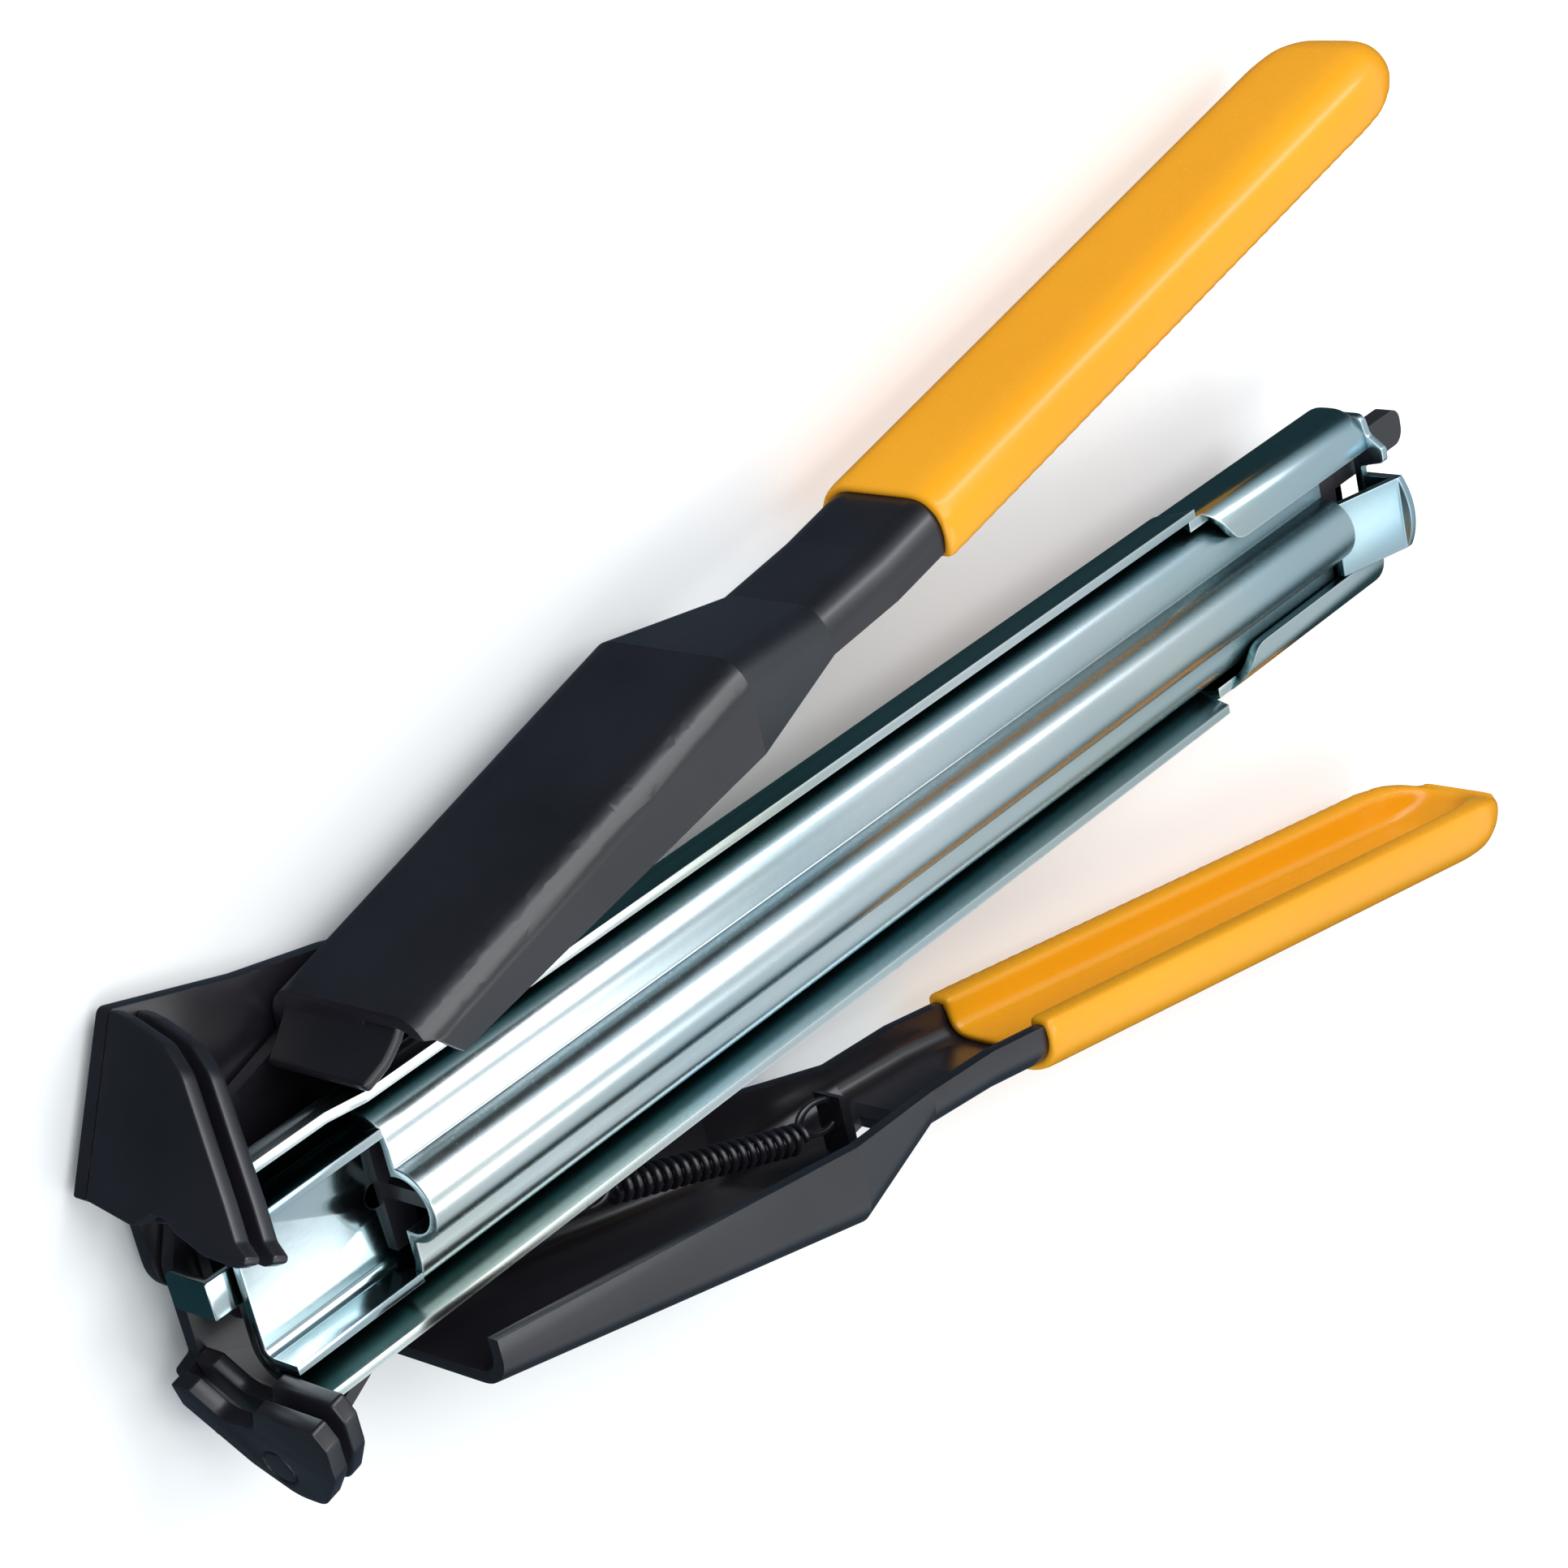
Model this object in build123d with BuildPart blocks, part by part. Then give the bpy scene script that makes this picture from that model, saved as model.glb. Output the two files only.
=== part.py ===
from build123d import *
from math import cos, radians, sin
import os

os.makedirs("parts", exist_ok=True)

# A ring stapler: two crossed levers on one pivot close a pair of grooved jaws,
# and a spring-fed magazine brings the rings to them.
# Frame: the pivot axis is Z, the magazine runs back along +X, the upper handle
# is on the +Y side, and the tool lies on its far side, on the plane Z = 0.

# ---------------------------------------------------------------- driving sizes
# Pivot stack, upwards from the rest face
HEAD_T = 1.5
PLATE_T = 2.0
WASHER_T = 0.5
WASHER_PLAY = 0.05
PIVOT_R = 4.0
HEAD_R = 7.0
WASHER_R = 7.5
RUN_FIT = 0.05
STANDOFF = 3.0

# Magazine
MAG_DEPTH = 10.0
MAG_HALF = 14.0
LIP_HALF = 15.6
MAG_WALL = 1.3
CHANNEL_R = 4.4
LIP_RISE = 5.2
MAG_FRONT = -29.2
LIP_END = 150.0
MAG_REAR = 189.5
WRAP_RISE = 1.5
WRAP_EDGE = 8.0
WRAP_SWEEP = 9.0
RING_GAP = 2.2
RAIL_HALF = 11.4
RAIL_WALL = 1.2
RAIL_CORNER = 4.0
RAIL_FRONT = -30.8
COVER_FRONT = -10.8
COVER_SETBACK = 10.5
LOBE_R = 4.9
RAIL_FOOT_R = 2.4
COVER_SKIRT = 1.4
SLOT_W = 3.0
SLOT_FRONT = -12.0
SLOT_SETBACK = 5.0

# End plate and tab
END_T = 1.3
TAB_LOW = -7.8
TAB_HIGH = 3.2
TAB_CLIMB = 3.6
TAB_RISE = 6.4
TAB_REACH = 9.9

# Nose hook and rail rivets
HOOK_FRONT = -34.3
HOOK_TAIL = -22.0
HOOK_Y = -0.3
HOOK_W = 5.0
HOOK_T = 1.2
HOOK_DROP = 7.2
RAIL_RIVET_R = 1.6
RAIL_RIVET_X = (-18.0, 187.0)

# Levers
SHEET_T = 1.6
NEAR_GAP = 8.5
GRIP_HALF_W = 9.5
GRIP_CENTRE = -5.0
BEND_R = 4.5
UPPER_START = -8.0
LOWER_START = -10.0
CREST_X = 52.0
STEP_X = 71.0
NECK_X = 84.0
GRIP_X = 94.0
HANDLE_END = 192.0
START_Y = 24.0
CREST_Y = 39.6
STEP_Y = 37.4
NECK_Y = 39.1
END_Y = 61.3
START_DEPTH = 7.0
CREST_DEPTH = 12.2
STEP_DEPTH = 6.3
NECK_DEPTH = 6.7
END_DEPTH = 7.4
SKIN_T = 1.2
GRIP_END_R = 13.0
GRIP_TIP = 209.5
END_DROP = 5.0
END_SCOOP = 3.0

# Jaws
JAW_T = 2.2
GROOVE = 1.8
UPPER_TILT = 29.3
LOWER_TILT = -12.0

# Springs and follower
RETURN_COIL_R = 2.1
RETURN_WIRE_R = 0.45
RETURN_TURNS = 20
FEED_COIL_R = 2.9
FEED_WIRE_R = 0.35
FEED_TURNS = 24
FEED_EYE = 1.5
ANCHOR_L = 4.0
FOLLOWER_LEN = 34.0
FOLLOWER_GAP = 0.3
FOLLOWER_STOP = 5.0
YOKE_LEN = 24.0
BAR_W = 5.4
BAR_T = 2.8
BAR_REACH = 14.0
STUB_REACH = 10.0

# ---------------------------------------------------------------- derived places
Z_LOW = HEAD_T
Z_LOW_TOP = Z_LOW + PLATE_T
LAYER_GAP = WASHER_T + 2 * WASHER_PLAY
Z_UP = Z_LOW_TOP + LAYER_GAP
Z_UP_TOP = Z_UP + PLATE_T
Z_FRAME = Z_UP_TOP + LAYER_GAP
Z_FRAME_TOP = Z_FRAME + PLATE_T
Z_BACK = Z_FRAME_TOP + STANDOFF
Z_LIP = Z_BACK + MAG_DEPTH
Z_NEAR = Z_LIP + NEAR_GAP
Z_GRIP = Z_LIP + GRIP_CENTRE
Z_RAIL = Z_BACK + MAG_WALL + RING_GAP
Z_FLOOR = Z_RAIL + RAIL_WALL
Z_SEAT = Z_LIP - RAIL_WALL
NARROW = (Z_GRIP - GRIP_HALF_W, Z_GRIP + GRIP_HALF_W)
Z_TAB = Z_LIP + 0.1
Z_RAIL_LIP = Z_SEAT - (RAIL_CORNER - RAIL_WALL)
COVER_REAR = MAG_REAR - COVER_SETBACK
SLOT_REAR = MAG_REAR - SLOT_SETBACK
TAB_FRONT = MAG_REAR - TAB_REACH
NEST_HALF = RAIL_HALF - RAIL_WALL
NEST_INNER = NEST_HALF - RAIL_WALL
END_SLOPE = (END_Y - NECK_Y) / (HANDLE_END - NECK_X)
START_SLOPE = (CREST_Y - START_Y) / (CREST_X - UPPER_START)


# ---------------------------------------------------------------- handle stampings
def back_y(x):
    """Distance from the magazine's middle to a handle's back along the grip."""
    return NECK_Y + END_SLOPE * (x - NECK_X)


def stations(start, z_far):
    """Sections of one handle: place, back height, wall depth and side faces."""
    wide = (z_far, Z_NEAR)
    start_y = START_Y + START_SLOPE * (start - UPPER_START)
    return [
        (start, start_y, START_DEPTH, wide),
        (CREST_X, CREST_Y, CREST_DEPTH, wide),
        (STEP_X, STEP_Y, STEP_DEPTH, NARROW),
        (NECK_X, NECK_Y, NECK_DEPTH, NARROW),
        (HANDLE_END, END_Y, END_DEPTH, NARROW),
    ]


def trough(sections, side, inset, reach, corner):
    """Solid between channel sections, inset from the outer faces all round."""
    with BuildPart() as solid:
        for x, y, depth, (z_lo, z_hi) in sections:
            top = side * (y - inset)
            foot = side * (y - depth - reach + (inset if reach == 0.0 else 0.0))
            height = abs(top - foot)
            width = z_hi - z_lo - 2 * inset
            with BuildSketch(Plane.YZ.offset(x)) as section:
                with Locations(((top + foot) / 2, (z_lo + z_hi) / 2)):
                    Rectangle(height, width)
                back_corners = section.vertices().group_by(Axis.X)[-1 if side > 0 else 0]
                fillet(back_corners, min(corner, 0.45 * width, 0.9 * height))
        loft(ruled=True)
    return solid.part


def grip_sections(first, last, end_r):
    """Grip sections that close to a rounded end, following a quarter circle."""
    half = (NARROW[1] - NARROW[0]) / 2
    taper = (END_DEPTH - NECK_DEPTH) / (HANDLE_END - NECK_X)
    rows = []
    for x in (first, last - end_r):
        rows.append((x, back_y(x), NECK_DEPTH + taper * (x - NECK_X), half))
    for step in (0.35, 0.62, 0.82, 0.95):
        x = last - end_r + step * end_r
        shrink = 0.3 + 0.7 * (1 - step**2) ** 0.5
        drop = step**3
        depth = END_DEPTH - (END_DROP + END_SCOOP) * drop
        rows.append((x, back_y(x) - END_DROP * drop, max(depth, 2 * SKIN_T), half * shrink))
    return [(x, y, depth, (Z_GRIP - h, Z_GRIP + h)) for x, y, depth, h in rows]


def grip_skin(side, sheet):
    """Dipped skin: the outer form less the trough inside it and less the sheet."""
    outer_rows = grip_sections(GRIP_X, GRIP_TIP, GRIP_END_R)
    inner_rows = grip_sections(GRIP_X - 1.0, GRIP_TIP - 3.0, GRIP_END_R)
    skin_in = SHEET_T + SKIN_T
    outer = trough(outer_rows, side, -SKIN_T, 0.0, BEND_R + SKIN_T)
    hollow = trough(inner_rows, side, skin_in, 4.0, BEND_R - skin_in)
    with BuildPart() as skin:
        add(outer)
        add(hollow, mode=Mode.SUBTRACT)
        add(sheet, mode=Mode.SUBTRACT)
    return skin.part


def jaw_plane(x, y, tilt, set_back):
    """Plane of a jaw plate's front face: local X is world Z, local Y climbs the plate."""
    facing = Vector(-cos(radians(tilt)), sin(radians(tilt)), 0)
    origin = Vector(x, y, 0) - facing * set_back
    return Plane(origin=origin, x_dir=(0, 0, 1), z_dir=facing)


# ---------------------------------------------------------------- lower lever
UPPER_JAW_FOOT = (-38.7, 13.3)
UPPER_JAW_HEIGHT = 21.2
JAW_TOP = (
    UPPER_JAW_FOOT[0] + UPPER_JAW_HEIGHT * sin(radians(UPPER_TILT)),
    UPPER_JAW_FOOT[1] + UPPER_JAW_HEIGHT * cos(radians(UPPER_TILT)),
)
lower_sections = stations(LOWER_START, Z_LOW)
lower_outer = trough(lower_sections, -1, 0.0, 0.0, BEND_R)
lower_hollow = trough(lower_sections, -1, SHEET_T, 4.0, BEND_R - SHEET_T)
HOOK_X = 61.5
HOOK_Z = Z_GRIP
CREST_FALL = (CREST_Y - STEP_Y) / (STEP_X - CREST_X)
HOOK_FOOT = CREST_FALL * (HOOK_X - CREST_X) + SHEET_T / 2 - CREST_Y

with BuildPart() as lower_handle:
    add(lower_outer)
    add(lower_hollow, mode=Mode.SUBTRACT)
    with BuildSketch(Plane.XY.offset(Z_LOW)):
        with BuildLine():
            FilletPolyline(
                UPPER_JAW_FOOT,
                JAW_TOP,
                (-10.6, 26.3),
                (6.0, 22.5),
                (17.0, 8.0),
                (38.0, -23.5),
                (38.0, -27.5),
                (2.0, -19.5),
                (-10.9, -16.8),
                (-22.0, -8.0),
                (-33.0, -2.3),
                (-33.0, 8.0),
                close=True,
                radius=[0.5, 1.0, 12.0, 10.0, 12.0, 2.0, 0.5, 12.0, 1.0, 8.0, 5.8, 1.5],
            )
        make_face()
    extrude(amount=PLATE_T)
    with Locations((0, 0, Z_LOW)):
        Hole(PIVOT_R + RUN_FIT, depth=3 * PLATE_T)
    # hook pressed up from the floor, with the hole that it leaves
    with BuildSketch(Plane.XY.offset(HOOK_Z - 2.2)):
        with BuildLine():
            Polyline(
                (HOOK_X, HOOK_FOOT),
                (HOOK_X + SHEET_T, HOOK_FOOT),
                (HOOK_X + SHEET_T, -29.0),
                (HOOK_X, -28.2),
                close=True,
            )
        make_face()
    extrude(amount=4.4)
    with Locations((HOOK_X + 5.0, HOOK_FOOT, HOOK_Z)):
        Box(4.4, 6.0, 4.4, mode=Mode.SUBTRACT)
lower_handle.part.label = "lower_handle"
export_step(lower_handle.part, "parts/lower_handle.step")

with BuildPart() as lower_grip:
    add(grip_skin(-1, lower_handle.part))
lower_grip.part.label = "lower_grip"
export_step(lower_grip.part, "parts/lower_grip.step")


# ---------------------------------------------------------------- upper jaw plates
def upper_jaw_outline(near):
    """Plate outline as (height off the rest plane, climb): upright far edge, sloped near edge."""
    foot = Z_LOW_TOP
    return [
        (foot, 0.0),
        (foot, UPPER_JAW_HEIGHT),
        (foot + 3.0, UPPER_JAW_HEIGHT - 0.4),
        (foot + 9.5, UPPER_JAW_HEIGHT - 2.0),
        (near - 14.5, 16.5),
        (near - 5.0, 4.0),
        (near - 2.6, 0.6),
        (near, -1.1),
        (near - 2.3, -2.1),
        (near - 7.5, -1.9),
        (near - 12.5, -0.5),
        (near - 14.5, 0.7),
        (near - 17.0, 0.7),
        (near - 19.5, -1.2),
    ]


JAW_NEAR = Z_LIP + 9.5
RADII = [0.4, 0.4, 1.5, 4.0, 6.0, 8.0, 1.5, 0.6, 1.2, 4.0, 2.0, 1.2, 1.2, 2.0]

with BuildPart() as upper_jaw_front:
    with BuildSketch(jaw_plane(*UPPER_JAW_FOOT, UPPER_TILT, 0.0)):
        with BuildLine():
            FilletPolyline(*upper_jaw_outline(JAW_NEAR), close=True, radius=RADII)
        make_face()
    extrude(amount=-JAW_T)
upper_jaw_front.part.label = "upper_jaw_front"
export_step(upper_jaw_front.part, "parts/upper_jaw_front.step")

with BuildPart() as upper_jaw_rear:
    with BuildSketch(jaw_plane(*UPPER_JAW_FOOT, UPPER_TILT, JAW_T + GROOVE)):
        with BuildLine():
            FilletPolyline(*upper_jaw_outline(JAW_NEAR), close=True, radius=RADII)
        make_face()
    extrude(amount=-JAW_T)
upper_jaw_rear.part.label = "upper_jaw_rear"
export_step(upper_jaw_rear.part, "parts/upper_jaw_rear.step")

with BuildPart() as upper_jaw_spacer:
    with BuildSketch(jaw_plane(*UPPER_JAW_FOOT, UPPER_TILT, JAW_T)):
        with Locations((Z_LOW_TOP + 2.5, UPPER_JAW_HEIGHT / 2 + 2.5)):
            Rectangle(5.0, UPPER_JAW_HEIGHT - 9.0)
    extrude(amount=-GROOVE)
upper_jaw_spacer.part.label = "upper_jaw_spacer"
export_step(upper_jaw_spacer.part, "parts/upper_jaw_spacer.step")


# ---------------------------------------------------------------- upper lever
LOWER_JAW_FOOT = (-38.3, -6.5)
upper_sections = stations(UPPER_START, Z_UP)
upper_outer = trough(upper_sections, 1, 0.0, 0.0, BEND_R)
upper_hollow = trough(upper_sections, 1, SHEET_T, 4.0, BEND_R - SHEET_T)
POST_X = 17.5
POST_Y = -16.8
POST_R = 1.3
LUG_R = 1.9

with BuildPart() as upper_handle:
    add(upper_outer)
    add(upper_hollow, mode=Mode.SUBTRACT)
    with BuildSketch(Plane.XY.offset(Z_UP)):
        with BuildLine():
            FilletPolyline(
                (-18.0, 15.2),
                (-7.9, 18.2),
                (10.0, 21.0),
                (40.0, 27.0),
                (32.0, 19.0),
                (14.0, 2.0),
                (POST_X + LUG_R, POST_Y + 3.0),
                (POST_X + LUG_R, POST_Y - LUG_R),
                (POST_X - LUG_R, POST_Y - LUG_R),
                (0.0, -14.5),
                (-13.0, -19.8),
                (-21.5, -24.2),
                (-27.0, -25.8),
                (-32.2, -22.5),
                (-34.9, -11.5),
                (-32.4, -10.5),
                (-32.4, 1.0),
                (-29.0, 8.5),
                close=True,
                radius=[4, 3, 8, 0.5, 6, 8, 4, 1.7, 1.7, 8, 6, 4, 1.5, 3, 0.5, 0.5, 4, 5],
            )
        make_face()
    extrude(amount=PLATE_T)
    with Locations((0, 0, Z_UP)):
        Hole(PIVOT_R + RUN_FIT, depth=3 * PLATE_T)
    # stiffening flange along the jaw arm's lower edge
    with BuildSketch(Plane.XY.offset(Z_UP)):
        with BuildLine():
            Polyline(
                (-14.6, -20.3),
                (-21.6, -23.9),
                (-26.4, -25.3),
                (-26.4, -23.7),
                (-22.3, -22.4),
                (-15.4, -18.9),
                close=True,
            )
        make_face()
    extrude(amount=10.0)
    # the near wall's front corner is cut back in a slope
    with BuildSketch(Plane.XY.offset(Z_LIP)):
        with BuildLine():
            FilletPolyline(
                (UPPER_START - 1.0, START_Y - 2.0),
                (UPPER_START + 1.6, START_Y - 3.0),
                (UPPER_START + 5.0, START_Y - 6.5),
                (UPPER_START + 7.0, START_Y - 12.0),
                (UPPER_START - 1.0, START_Y - 12.0),
                close=True,
                radius=[0.2, 2.0, 2.0, 0.2, 0.2],
            )
        make_face()
    extrude(amount=Z_NEAR - Z_LIP, mode=Mode.SUBTRACT)
    # front wall, folded down from the back and tapering to a tongue
    with BuildSketch(Plane.YZ.offset(UPPER_START)):
        with BuildLine():
            FilletPolyline(
                (START_Y, Z_UP),
                (START_Y, Z_LIP - 1.2),
                (START_Y - 3.0, Z_LIP - 2.1),
                (START_Y - 7.0, Z_LIP - 8.7),
                (START_Y - 10.5, Z_LIP - 11.1),
                (7.4, Z_LIP - 11.6),
                (7.0, Z_UP),
                close=True,
                radius=[BEND_R, 0.4, 1.5, 3.0, 1.5, 1.2, 0.5],
            )
        make_face()
    extrude(amount=SHEET_T)
upper_handle.part.label = "upper_handle"
export_step(upper_handle.part, "parts/upper_handle.step")

with BuildPart() as upper_grip:
    add(grip_skin(1, upper_handle.part))
upper_grip.part.label = "upper_grip"
export_step(upper_grip.part, "parts/upper_grip.step")

with BuildPart() as spring_post:
    with BuildSketch(Plane.XY.offset(Z_UP_TOP)):
        with Locations((POST_X, POST_Y)):
            Circle(POST_R)
    extrude(amount=Z_GRIP + 1.0 - Z_UP_TOP)
    with BuildSketch(Plane.XY.offset(Z_GRIP + 1.0)):
        with Locations((POST_X, POST_Y)):
            Circle(POST_R + 0.3)
    extrude(amount=0.8)
spring_post.part.label = "spring_post"
export_step(spring_post.part, "parts/spring_post.step")


# ---------------------------------------------------------------- lower jaw plates
def lower_jaw_outline(near):
    """Shield-shaped plate: a recess beside the lever, then a raised tooth."""
    foot = Z_UP_TOP
    return [
        (foot, -4.8),
        (foot, -8.2),
        (foot + 7.7, -15.2),
        (foot + 13.5, -18.4),
        (foot + 18.2, -18.4),
        (near - 1.6, -12.7),
        (near, -7.5),
        (near - 0.8, -4.8),
        (near - 10.6, -4.8),
        (near - 12.6, -8.4),
        (foot + 6.5, -8.4),
        (foot + 3.0, -4.8),
    ]


LOWER_NEAR = Z_LIP + 9.0
LOWER_RADII = [0.4, 0.5, 5.0, 6.0, 3.0, 4.0, 1.2, 0.6, 0.8, 2.0, 3.0, 0.8]

with BuildPart() as lower_jaw_front:
    with BuildSketch(jaw_plane(*LOWER_JAW_FOOT, LOWER_TILT, 0.0)):
        with BuildLine():
            FilletPolyline(*lower_jaw_outline(LOWER_NEAR), close=True, radius=LOWER_RADII)
        make_face()
    extrude(amount=-JAW_T)
    # shallow round dimple low on the front face
    with BuildSketch(jaw_plane(*LOWER_JAW_FOOT, LOWER_TILT, 0.0)):
        with Locations((Z_UP_TOP + 13.0, -14.0)):
            Circle(2.6)
            Circle(2.2, mode=Mode.SUBTRACT)
    extrude(amount=-0.3, mode=Mode.SUBTRACT)
lower_jaw_front.part.label = "lower_jaw_front"
export_step(lower_jaw_front.part, "parts/lower_jaw_front.step")

with BuildPart() as lower_jaw_rear:
    with BuildSketch(jaw_plane(*LOWER_JAW_FOOT, LOWER_TILT, JAW_T + GROOVE)):
        with BuildLine():
            FilletPolyline(*lower_jaw_outline(LOWER_NEAR - 0.8), close=True, radius=LOWER_RADII)
        make_face()
    extrude(amount=-JAW_T)
lower_jaw_rear.part.label = "lower_jaw_rear"
export_step(lower_jaw_rear.part, "parts/lower_jaw_rear.step")

with BuildPart() as lower_jaw_spacer:
    with BuildSketch(jaw_plane(*LOWER_JAW_FOOT, LOWER_TILT, JAW_T)):
        with Locations((Z_UP_TOP + 12.5, -13.0)):
            Rectangle(9.0, 4.0)
    extrude(amount=-GROOVE)
lower_jaw_spacer.part.label = "lower_jaw_spacer"
export_step(lower_jaw_spacer.part, "parts/lower_jaw_spacer.step")

# ---------------------------------------------------------------- pivot and frame
with BuildPart() as pivot_pin:
    Cylinder(HEAD_R, HEAD_T, align=(Align.CENTER, Align.CENTER, Align.MIN))
    Cylinder(PIVOT_R, Z_FRAME_TOP + HEAD_T, align=(Align.CENTER, Align.CENTER, Align.MIN))
    with Locations((0, 0, Z_FRAME_TOP)):
        Cylinder(HEAD_R - 1.0, HEAD_T, align=(Align.CENTER, Align.CENTER, Align.MIN))
pivot_pin.part.label = "pivot_pin"
export_step(pivot_pin.part, "parts/pivot_pin.step")

with BuildPart() as pivot_washers:
    for z in (Z_LOW_TOP + WASHER_PLAY, Z_UP_TOP + WASHER_PLAY):
        with BuildSketch(Plane.XY.offset(z)):
            Circle(WASHER_R)
            Circle(PIVOT_R + RUN_FIT, mode=Mode.SUBTRACT)
        extrude(amount=WASHER_T)
pivot_washers.part.label = "pivot_washers"
export_step(pivot_washers.part, "parts/pivot_washers.step")

RIVET_X = (-20.0, 20.0)
with BuildPart() as frame_plate:
    with BuildSketch(Plane.XY.offset(Z_FRAME)):
        with Locations(((MAG_FRONT + RIVET_X[1] + 6.0) / 2, -1.2)):
            RectangleRounded(RIVET_X[1] + 6.0 - MAG_FRONT, 15.0, 4.0)
        Circle(PIVOT_R, mode=Mode.SUBTRACT)
    extrude(amount=PLATE_T)
frame_plate.part.label = "frame_plate"
export_step(frame_plate.part, "parts/frame_plate.step")

with BuildPart() as magazine_standoffs:
    with BuildSketch(Plane.XY.offset(Z_FRAME_TOP)):
        with Locations(*[(x, 0) for x in RIVET_X]):
            Circle(3.0)
    extrude(amount=STANDOFF)
magazine_standoffs.part.label = "magazine_standoffs"
export_step(magazine_standoffs.part, "parts/magazine_standoffs.step")


# ---------------------------------------------------------------- magazine
def open_channel(half, lip, foot, top, corner):
    """Closed outline of a channel's face, flat at the back and flared at the lips."""
    return FilletPolyline(
        (-lip, top),
        (-half, top - LIP_RISE),
        (-half, foot),
        (half, foot),
        (half, top - LIP_RISE),
        (lip, top),
        close=True,
        radius=[0.01, 2.0, corner, corner, 2.0, 0.01],
    )


with BuildPart() as magazine_channel:
    with BuildSketch(Plane.YZ.offset(MAG_FRONT)):
        with BuildLine():
            open_channel(MAG_HALF, LIP_HALF, Z_BACK, Z_LIP, CHANNEL_R)
        make_face()
    extrude(amount=LIP_END - MAG_FRONT)
    with BuildSketch(Plane.YZ.offset(LIP_END)):
        with Locations((0, (Z_BACK + Z_LIP + WRAP_RISE) / 2)):
            RectangleRounded(2 * MAG_HALF, MAG_DEPTH + WRAP_RISE, 5.0)
    extrude(amount=MAG_REAR - LIP_END)
    with BuildSketch(Plane.YZ.offset(MAG_FRONT)):
        with BuildLine():
            open_channel(
                MAG_HALF - MAG_WALL,
                LIP_HALF - MAG_WALL,
                Z_BACK + MAG_WALL,
                Z_LIP + 0.01,
                CHANNEL_R - MAG_WALL,
            )
        make_face()
    extrude(amount=LIP_END - MAG_FRONT, mode=Mode.SUBTRACT)
    with BuildSketch(Plane.YZ.offset(LIP_END)):
        with Locations((0, (Z_BACK + Z_LIP + WRAP_RISE) / 2)):
            RectangleRounded(2 * (MAG_HALF - MAG_WALL), MAG_DEPTH + WRAP_RISE - 2 * MAG_WALL, 5.0 - MAG_WALL)
    extrude(amount=MAG_REAR - LIP_END, mode=Mode.SUBTRACT)
    # the folded edges sweep in from the lips in an S and then run straight
    with BuildSketch(Plane.XY.offset(Z_LIP - MAG_WALL)):
        for side in (1, -1):
            with BuildLine():
                Bezier(
                    (LIP_END, side * MAG_HALF),
                    (LIP_END + 0.7 * WRAP_SWEEP, side * MAG_HALF),
                    (LIP_END + 0.4 * WRAP_SWEEP, side * WRAP_EDGE),
                    (LIP_END + WRAP_SWEEP, side * WRAP_EDGE),
                )
                Polyline(
                    (LIP_END + WRAP_SWEEP, side * WRAP_EDGE),
                    (MAG_REAR, side * WRAP_EDGE),
                    (MAG_REAR, 0),
                    (LIP_END, 0),
                    (LIP_END, side * MAG_HALF),
                )
            make_face()
    extrude(amount=WRAP_RISE + 2 * MAG_WALL, mode=Mode.SUBTRACT)
    # the upper wall is cut back low at the nose, with a sloped shoulder
    with BuildSketch(Plane.XZ):
        with BuildLine():
            Polyline(
                (MAG_FRONT - 1, Z_LIP - 2.4),
                (-16.0, Z_LIP - 2.4),
                (-10.0, Z_LIP + 1.0),
                (MAG_FRONT - 1, Z_LIP + 1.0),
                close=True,
            )
        make_face()
    extrude(amount=-LIP_HALF - 1, mode=Mode.SUBTRACT)
magazine_channel.part.label = "magazine_channel"
export_step(magazine_channel.part, "parts/magazine_channel.step")

with BuildPart() as rail_channel:
    with BuildSketch(Plane.YZ.offset(RAIL_FRONT)) as profile:
        with Locations((0, (Z_RAIL + Z_LIP - 0.3) / 2)):
            Rectangle(2 * NEST_HALF, Z_LIP - 0.3 - Z_RAIL)
        fillet(profile.vertices().group_by(Axis.Y)[0], RAIL_FOOT_R)
    extrude(amount=MAG_REAR - RAIL_FRONT)
    with BuildSketch(Plane.YZ.offset(RAIL_FRONT)) as profile:
        with Locations((0, (Z_FLOOR + Z_LIP + 2) / 2)):
            Rectangle(2 * NEST_INNER, Z_LIP + 2 - Z_FLOOR)
        fillet(profile.vertices().group_by(Axis.Y)[0], RAIL_FOOT_R - RAIL_WALL)
    extrude(amount=MAG_REAR - RAIL_FRONT, mode=Mode.SUBTRACT)
    with BuildSketch(Plane.XY.offset(Z_RAIL_LIP)):
        with Locations(((COVER_FRONT + MAG_REAR) / 2, 0)):
            Rectangle(MAG_REAR - COVER_FRONT, 2 * RAIL_HALF)
    extrude(amount=Z_LIP - Z_RAIL_LIP, mode=Mode.SUBTRACT)
    with BuildSketch(Plane.XY.offset(Z_RAIL)):
        with Locations(((SLOT_FRONT + SLOT_REAR) / 2, 0)):
            SlotOverall(SLOT_REAR - SLOT_FRONT, SLOT_W)
    extrude(amount=RAIL_WALL, mode=Mode.SUBTRACT)
rail_channel.part.label = "rail_channel"
export_step(rail_channel.part, "parts/rail_channel.step")

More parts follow.
